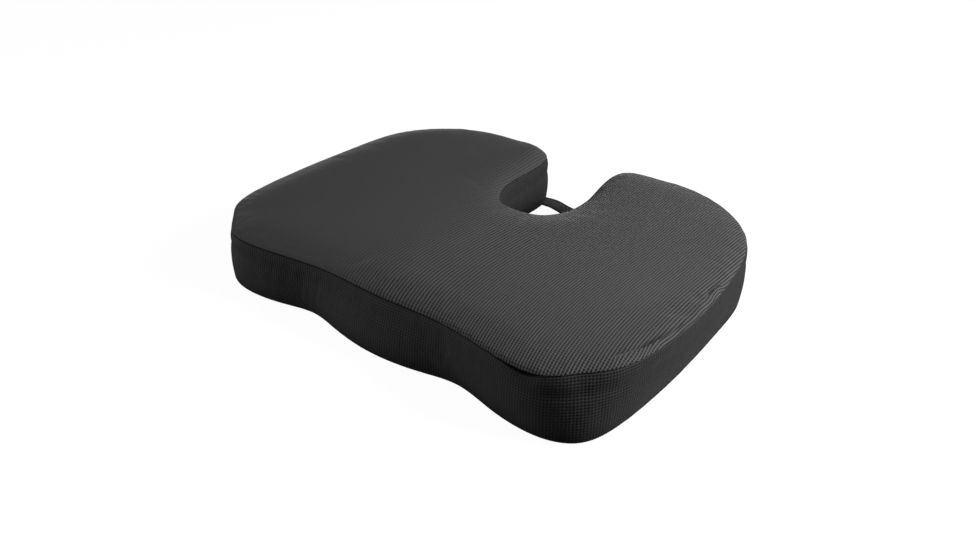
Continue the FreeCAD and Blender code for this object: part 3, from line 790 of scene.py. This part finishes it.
def folds(arcs, d, seam):
    """Height change of the gathered rim at distance d, and how deep in a valley it is, which sets
    the painted crease shade.
    """
    lift, valley = np.zeros(len(arcs)), np.zeros(len(arcs))
    for x, y, centre, slope, length, depth, width in FOLDS:
        a = wrap_arc(arcs - arcs[np.argmin(np.hypot(seam[:, 0] - x, seam[:, 1] - y))])
        off = d - centre - slope * a
        lift -= depth * bell(a, length) * bell(off, width)
        valley += depth / 3.0 * bell(a, 0.8 * length) * bell(off - 0.3, 0.75 * width)
        lift += 0.5 * depth * bell(a, length) * bell(off + 2.4, width)
    return lift, np.clip(valley, 0, 1)


def build_top():
    """Rolled rim rows and a triangulated field. Also returns the number of columns."""
    count = int(PERIM / STEP)
    arcs = even_arcs(count)
    us = u_of_arc(arcs)
    seam, line = SEAM(us), seam_line(us)
    dip = line - seam_height(seam[:, 0], seam[:, 1])
    dome, soft = along_rows(DOME, us), along_rows(SOFT, us)
    gap = gap_at(arcs)
    gathers = 0.35 + 0.65 * smooth(-60, 90, seam[:, 0])      # fewer gathers on the left
    rows, normals, lengths, valleys = [], [], [], []
    length = np.zeros(count)
    for index, (inset, rise) in enumerate(LIP + [(d, None) for d in OVER]):
        p, normal = wall(us, line, inset)
        d, valley = 0.0, np.zeros(count)
        near_edge, at_edge = index >= len(LIP) - 2, index >= len(LIP) - 1
        if rise is None:
            d = inset
            rise = rise_at(d, dome, soft)
        z = seam_height(p[:, 0], p[:, 1]) + dip * bell(d, 12.0) + rise
        push = (0.26 * noise1(arcs / 4.6, 21, 2) * bell(d, 5.0) * near_edge * gathers
                + 0.4 * gap * near_edge * bell(d, 7.0))
        lift = 0.20 * noise1(arcs / 6.5, 22, 2) * bell(d - 4.0, 5.0) * at_edge * gathers
        if index >= len(LIP):
            fold, valley = folds(arcs, d, seam)
            lift = lift + fold
        p[:, :2] += normal * push[:, None]
        p[:, 2] = z + lift
        if rows:
            length = length + np.linalg.norm(p - rows[-1], axis=1)
        rows.append(p)
        normals.append(normal)
        lengths.append(length)
        valleys.append(valley)

    # the rim is unrolled outwards from its last row
    ring = rows[-1][:, :2]
    uv = []
    for normal, row_length in zip(normals, lengths):
        flat = ring + normal * (length - row_length)[:, None]
        uv.append(weave_uv(flat[:, 0], flat[:, 1]))

    field = field_points(ring, TOP_CELL, clearance=0.75, stagger=True)
    x, y = field.T
    to_ring = distances(field, ring)
    d = np.min(to_ring, axis=1) + RIM
    weight = bell(to_ring, d[:, None] * 0.6)
    weight /= weight.sum(1)[:, None]
    z = (seam_height(x, y) + (weight @ dip) * bell(d, 12.0)
         + rise_at(d, weight @ dome, weight @ soft))
    z += (0.35 * np.sin(x / 47.0 + 0.6) * np.sin(y / 39.0 + 1.1)
          * smooth(12, 45, d))                               # faint unevenness of the field

    verts = np.concatenate(rows + [np.column_stack([field, z])])
    faces = grid_faces(len(rows), count, closed=True)
    faces += cap_faces(ring, field, (len(rows) - 1) * count, len(rows) * count)
    ob = mesh_object("top_panel_cloth", verts, faces, np.concatenate(uv + [weave_uv(x, y)]))
    # material 1, a near-black painted shade for the gap under the lip, is on the turned-in seam
    # allowance
    ob.data.polygons.foreach_set(
        "material_index", [1 if i < count * GAP_SHADE_ROWS else 0 for i in range(len(faces))])
    # painted shade for the valleys of the folds, read by the top material
    crease_shade = np.concatenate(valleys + [np.zeros(len(field))]).astype(np.float32)
    ob.data.attributes.new("crease_shade", "FLOAT", "POINT").data.foreach_set("value", crease_shade)
    return ob, count


top, top_columns = build_top()

# ------------------------------------------------------------------ cloth simulation
FIRM, LOOSE = 0.6, 0.2                  # pin weights between pinned (1) and free (0)
CLOTH_FRAMES = 20
CLOTH = dict(
    quality=4, mass=0.02,
    tension_stiffness=12, compression_stiffness=8, shear_stiffness=4, bending_stiffness=0.6,
    tension_damping=8, compression_damping=8, shear_damping=8, bending_damping=1.0,
    air_damping=1.5, vertex_group_mass="pinned", pin_stiffness=1.0,
    use_pressure=True, uniform_pressure_force=4.0)


def puff(ob, pins, limit, grow):
    """Blow the cloth up from inside, with its seams pinned and gravity off, and keep the
    settled shape. No point moves more than limit."""
    count = len(ob.data.vertices)
    start = np.zeros(count * 3, np.float32)
    ob.data.vertices.foreach_get("co", start)
    start = start.reshape(-1, 3)
    group = ob.vertex_groups.new(name="pinned")
    for weight in (1.0, FIRM, LOOSE):
        group.add([int(i) for i in np.nonzero(pins == weight)[0]], weight, "REPLACE")
    mod = ob.modifiers.new("Cloth", "CLOTH")
    for key, value in CLOTH.items():
        setattr(mod.settings, key, value)
    mod.settings.effector_weights.gravity = 0.0
    mod.settings.shrink_min = -grow
    mod.collision_settings.use_collision = False
    mod.collision_settings.use_self_collision = False
    mod.point_cache.frame_start = 1
    mod.point_cache.frame_end = CLOTH_FRAMES
    scene = bpy.context.scene
    for f in range(1, CLOTH_FRAMES + 1):
        scene.frame_set(f)
    evaluated = ob.evaluated_get(bpy.context.evaluated_depsgraph_get())
    end = np.zeros(count * 3, np.float32)
    evaluated.data.vertices.foreach_get("co", end)
    end = end.reshape(-1, 3)
    ob.modifiers.remove(mod)
    ob.vertex_groups.remove(group)
    scene.frame_set(1)
    move = end - start
    length = np.linalg.norm(move, axis=1)
    if not np.isfinite(length).all():       # an exploded simulation leaves the cloth as built
        return
    cap = limit * MM
    k = np.where(length > 0, cap * np.tanh(length / cap) / np.maximum(length, 1e-9), 0)
    ob.data.vertices.foreach_set("co", (start + move * k[:, None]).ravel())
    ob.data.update()


def top_pins():
    """Lip and outer rim pinned, easing to free over the next four rows."""
    pins = np.zeros(len(top.data.vertices))
    held = len(LIP) + 4
    pins[:top_columns * held] = 1.0
    pins[top_columns * held:top_columns * (held + 2)] = FIRM
    pins[top_columns * (held + 2):top_columns * (held + 4)] = LOOSE
    return pins


def band_pins():
    """All four edges pinned; top and bottom ease to free."""
    pins = np.zeros((band_row_count, len(band_arcs)))
    pins[:8] = pins[-7:] = 1.0
    pins[8] = pins[-8] = FIRM
    pins[9] = pins[-9] = LOOSE
    pins[:, :7] = pins[:, -7:] = 1.0
    return pins.ravel()


puff(top, top_pins(), limit=1.4, grow=0.0025)
puff(side_band, band_pins(), limit=1.0, grow=0.0015)

for ob, thickness, mat, node in (
        (top, 2.4, MAT_TOP, "top_panel"), (side_band, 1.3, MAT_BAND, "side_band"),
        (zip_upper, 1.3, MAT_BAND, "zip_band_upper"),
        (zip_lower, 1.3, MAT_BAND, "zip_band_lower")):
    make_cloth_solid(ob, thickness)
    if ob is top:
        # clearing the material slots here would reset the faces of the painted gap shade
        ob.data.materials.append(mat)
        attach(ob, "cushion")
        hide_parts(node)
        ob.data.materials.append(MAT_GAP_SHADE)
    else:
        put_on_cushion(ob, mat, "mesh_fabric", node)


# ------------------------------------------------------------------ underside and foam
def build_underside():
    us = u_of_arc(even_arcs(520))
    ring = wall(us, 6.8, inset=7.5)[0][:, :2]
    points = field_points(ring, step=7.0)
    order, faces = triangulate(ring, points)
    plan = np.concatenate([ring, points])[order]
    z = 1.62 + 0.16 * np.sin(plan[:, 0] / 9.0) * np.sin(plan[:, 1] / 11.0)
    ob = mesh_object("underside_cloth", np.column_stack([plan, z]), faces, plan * MM)
    solidify(ob, 0.7)
    return ob


FOAM_INSET = 3.4        # foam wall inside the cover wall
FOAM_CHAMFER = 2.2      # further inset of the lowest row
FOAM_BOTTOM = 2.3
FOAM_CELL = 9.0
# Rounded top edge of the foam: inset, height above the seam surface
FOAM_SHOULDER = ((4.0, -1.0), (5.2, 0.4), (7.2, 1.5), (10.0, 2.2))


def build_foam():
    count = 360
    arcs = even_arcs(count)
    us = u_of_arc(arcs)
    seam = seam_line(us)
    back = 3.0 * np.maximum(gap_at(arcs) - 0.02, 0)     # the foam stays back behind the gap
    rows = [wall(us, FOAM_BOTTOM, FOAM_INSET + FOAM_CHAMFER)[0]]
    for z in (2.6, 3.6, 5.6, 8.0):
        rows.append(wall(us, z, FOAM_INSET)[0])
    for t in np.linspace(0.1, 1, 9):
        rows.append(wall(us, 8 + (seam - 11.0) * t, FOAM_INSET + back * t * t)[0])
    for inset, rise in FOAM_SHOULDER:
        p, _ = wall(us, seam, inset + back)
        p[:, 2] = np.minimum(seam, seam_height(p[:, 0], p[:, 1])) + rise - 0.5 * back
        rows.append(p)
    verts = np.concatenate(rows)
    faces = grid_faces(len(rows), count, closed=True)
    ring = rows[-1][:, :2]
    points = field_points(ring, FOAM_CELL)
    faces += cap_faces(ring, points, len(verts) - count, len(verts))
    z = seam_height(points[:, 0], points[:, 1]) + 2.35
    verts = np.concatenate([verts, np.column_stack([points, z])])
    ring = rows[0][:, :2]
    points = field_points(ring, FOAM_CELL)
    faces += cap_faces(ring, points, 0, len(verts), flip=True)
    bottom = np.column_stack([points, np.full(len(points), FOAM_BOTTOM)])
    return mesh_object("foam_block", np.concatenate([verts, bottom]), faces)


put_on_cushion(build_underside(), MAT_BASE, "base_fabric", "bottom_panel")
put_on_cushion(build_foam(), MAT_FOAM, "foam", "foam_core")

# ------------------------------------------------------------------ strap and stitches
STRAP_W, STRAP_T = 19.0, 1.5
STRAP_Y, STRAP_END = 155.5, 46.5        # middle line, and reach in x to both sides
STRAP_EDGE = 0.7                        # width of the rounded edge
THREAD_R, STITCH_PITCH = 0.26, 3.0


def strap_z(x):
    """Middle surface of the webbing: out of the seam, then sagging in the middle."""
    a = np.abs(x)
    return 3.0 + 4.2 * smooth(6.0, 32.0, a) - 0.8 * smooth(34.0, 50.0, a)


def strap_section():
    """Flat section with rounded, thickened edges: offset in y, offset along the normal."""
    half_w, half_t = STRAP_W / 2, STRAP_T / 2
    flat = half_w - STRAP_EDGE
    ys = np.linspace(-flat, flat, 25)
    edge = 0.22 * bell(np.abs(ys) - (half_w - 1.0), 0.9)
    groove = 0.12 * bell(np.abs(ys) - (half_w - 2.2), 0.6)
    angles = np.radians([60, 30, 0, -30, -60])
    right_edge = (flat + STRAP_EDGE * np.cos(angles), half_t * np.sin(angles))
    left_edge = (-flat - STRAP_EDGE * np.cos(angles), -half_t * np.sin(angles))
    parts = ((ys, half_t + edge - groove), right_edge, (ys[::-1], -half_t - edge[::-1]), left_edge)
    return np.concatenate([np.column_stack(part) for part in parts])


def strap_normal(slope):
    return np.array([-slope, 1.0]) / math.hypot(slope, 1)


def build_strap(name, sign):
    stations = 60
    xs = np.linspace(*sorted((0.0, sign * STRAP_END)), stations)
    section = strap_section()
    count = len(section)
    around = np.concatenate([[0], np.cumsum(np.hypot(*np.diff(section, axis=0).T))])
    verts, uv = [], []
    for x, z, slope in zip(xs, strap_z(xs), np.gradient(strap_z(xs), xs)):
        normal = strap_normal(slope)
        for (y, out), length in zip(section, around):
            verts.append((x + normal[0] * out, STRAP_Y + y, z + normal[1] * out))
            uv.append((length * MM, x * MM))
    faces = []
    for i in range(stations - 1):
        for j in range(count):
            a, b = i * count + j, i * count + (j + 1) % count
            faces.append((a, a + count, b + count, b))
    faces.append(tuple(range(count)))
    faces.append(tuple((stations - 1) * count + j for j in reversed(range(count))))
    return mesh_object(name, verts, faces, uv)


def capsule(start, end, sides):
    """Small rounded stitch between two points: vertices and faces."""
    length = np.linalg.norm(end - start)
    along = (end - start) / length
    side = np.cross(along, [0, 0, 1.0])
    side /= np.linalg.norm(side)
    up = np.cross(along, side)
    stations = [(0.0, 0.55), (0.14, 0.9), (0.5, 1.0), (0.86, 0.9), (1.0, 0.55)]
    verts = [start - along * THREAD_R * 0.3]
    for share, thickness in stations:
        for i in range(sides):
            w = 2 * math.pi * i / sides
            out = (side * math.cos(w) + up * math.sin(w)) * THREAD_R * thickness
            verts.append(start + along * length * share + out)
    verts.append(end + along * THREAD_R * 0.3)
    faces = [(0, 1 + (i + 1) % sides, 1 + i) for i in range(sides)]
    for k in range(len(stations) - 1):
        for i in range(sides):
            a, b = 1 + k * sides + i, 1 + k * sides + (i + 1) % sides
            faces.append((a, b, b + sides, a + sides))
    tip, last = len(verts) - 1, 1 + (len(stations) - 1) * sides
    faces += [(tip, last + i, last + (i + 1) % sides) for i in range(sides)]
    return np.array(verts), faces


def build_strap_stitches(name, sign):
    """Two lines of stitches on both faces of one half of the strap."""
    line_y = STRAP_W / 2 - 2.3
    pieces = []
    for y in (-line_y, line_y):
        for x in np.arange(0.8, STRAP_END - 3, STITCH_PITCH):
            for face in (1, -1):
                ends = []
                for q in (x, x + 2.1):
                    normal = strap_normal((strap_z(q + 0.05) - strap_z(q - 0.05)) / 0.1)
                    out = face * (STRAP_T / 2 + 0.02)
                    ends.append(np.array([sign * (q + normal[0] * out), STRAP_Y + y,
                                          strap_z(q) + normal[1] * out]))
                pieces.append(capsule(*ends, sides=8))
    return join_pieces(name, pieces)


def build_seam_stitches():
    """Thread of the top seam, deep between the two lips."""
    pieces = []
    for arc in np.arange(0, PERIM - 2.2, STITCH_PITCH):
        u = u_of_arc(np.array([arc, arc + 2.3]))
        seam = seam_line(u)
        p, _ = wall(u, seam, 1.85)
        p[:, 2] = seam - 0.36
        pieces.append(capsule(p[0], p[1], sides=6))
    return join_pieces("top_seam_stitches", pieces)


for build, name, mat, slot, replaced in (
        (build_strap, "strap", MAT_WEB, "webbing", ("handle_webbing", "handle_tails")),
        (build_strap_stitches, "strap_stitches", MAT_THREAD, "thread", ("handle_stitching",))):
    for side, sign in (("left", -1), ("right", 1)):
        ob = build(f"{name}_{side}", sign)
        paint(ob, mat)
        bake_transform(ob)
        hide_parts(*replaced)
put_on_cushion(build_seam_stitches(), MAT_THREAD, "thread", "top_seam_thread")

# ------------------------------------------------------------------ CAD pieces that are kept
METAL_NODES = ("zip_slider_body", "zip_puller", "zip_top_stops", "zip_bottom_stop")
for mat, names in (
        (MAT_THREAD, ("bottom_seam_thread", "band_join_threads", "zip_stitching",
                      "zip_bartacks")),
        (MAT_RUBBER, ("grip_dots",)),
        (MAT_METAL, METAL_NODES),
        (MAT_TAPE, ("zip_tape_upper", "zip_tape_lower")),
        (MAT_COIL, ("zip_coil_upper", "zip_coil_lower"))):
    for name in names:
        paint(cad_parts[name], mat)
for name in METAL_NODES:
    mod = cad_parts[name].modifiers.new("soft_edges", "BEVEL")
    mod.width = 0.22 * MM
    mod.segments = 3
    mod.limit_method = "ANGLE"
    mod.angle_limit = math.radians(40)

# ------------------------------------------------------------------ stage, light, camera
scene = bpy.context.scene
FLOOR_HALF, FLOOR_Z = 9000, -0.3


def floor_mat():
    """Nearly white to the camera with soft shadows, dark grey to all other rays."""
    mat, g = new_mat("floor")
    glow = g.emitter("ShaderNodeEmission", color=(1, 1, 1), strength=0.965)
    seen = g.node("ShaderNodeAddShader")
    g.put(seen.inputs[0], glow)
    g.put(seen.inputs[1], g.diffuse(0.16))
    shader = g.by_ray(camera=seen.outputs[0], others=g.diffuse(0.09))
    g.output("ShaderNodeOutputMaterial", shader)
    return mat


corners = [(x * FLOOR_HALF, y * FLOOR_HALF, FLOOR_Z)
           for x, y in ((-1, -1), (1, -1), (1, 1), (-1, 1))]
floor = mesh_object("floor", corners, [(0, 1, 2, 3)], smooth_shade=False)
paint(floor, floor_mat())

world = bpy.data.worlds.new("studio")
scene.world = world
world.use_nodes = True
sky = Graph(world.node_tree)
ambient = sky.emitter("ShaderNodeBackground", color=(1, 1, 1), strength=0.050)
backdrop = sky.emitter("ShaderNodeBackground", color=(1, 1, 1), strength=1.05)
sky.output("ShaderNodeOutputWorld", sky.by_ray(camera=backdrop, others=ambient))


def area_light(name, location, width, height, power):
    """Rectangular light aimed at the middle of the cushion. Metres and watts."""
    light = bpy.data.lights.new(name, "AREA")
    light.energy = power
    light.shape = "RECTANGLE"
    light.size = width
    light.size_y = height
    ob = bpy.data.objects.new(name, light)
    scene.collection.objects.link(ob)
    ob.location = location
    aim = Vector((0, 0, 0.03)) - Vector(location)
    ob.rotation_euler = aim.to_track_quat("-Z", "Y").to_euler()


area_light("key", location=(0.78, 0.22, 0.54), width=0.40, height=0.40, power=7.8)
area_light("left_fill", location=(-2.42, -1.84, 0.30), width=1.0, height=0.45, power=30.0)
area_light("rear", location=(-0.1, 1.5, 0.45), width=0.9, height=0.9, power=2.6)


def add_camera():
    """Camera in front, to the right and above, placed along its own axes from a target."""
    azimuth, elevation, roll = math.radians(37.2), math.radians(31.3), math.radians(0.1)
    target = Vector((0, 0, 33.6))
    shift_right, shift_up, distance = -1.632, -29.28, 745.632
    back = Vector((math.sin(azimuth) * math.cos(elevation),
                   -math.cos(azimuth) * math.cos(elevation), math.sin(elevation)))
    level = Vector((math.cos(azimuth), math.sin(azimuth), 0))
    upright_axis = back.cross(level)
    right = level * math.cos(roll) + upright_axis * math.sin(roll)
    up = -level * math.sin(roll) + upright_axis * math.cos(roll)
    place = (target + shift_right * right + shift_up * up + distance * back) * MM
    data = bpy.data.cameras.new("camera")
    camera = bpy.data.objects.new("camera", data)
    scene.collection.objects.link(camera)
    camera.matrix_world = Matrix(
        [(right[i], up[i], back[i], place[i]) for i in range(3)] + [(0, 0, 0, 1)])
    data.sensor_fit = "HORIZONTAL"
    data.sensor_width = 36.0
    data.lens = 28.825767
    data.clip_start = 0.01
    data.clip_end = 50
    scene.camera = camera


add_camera()
scene.view_settings.view_transform = "Standard"
scene.view_settings.look = "None"
scene.view_settings.exposure = 0.0
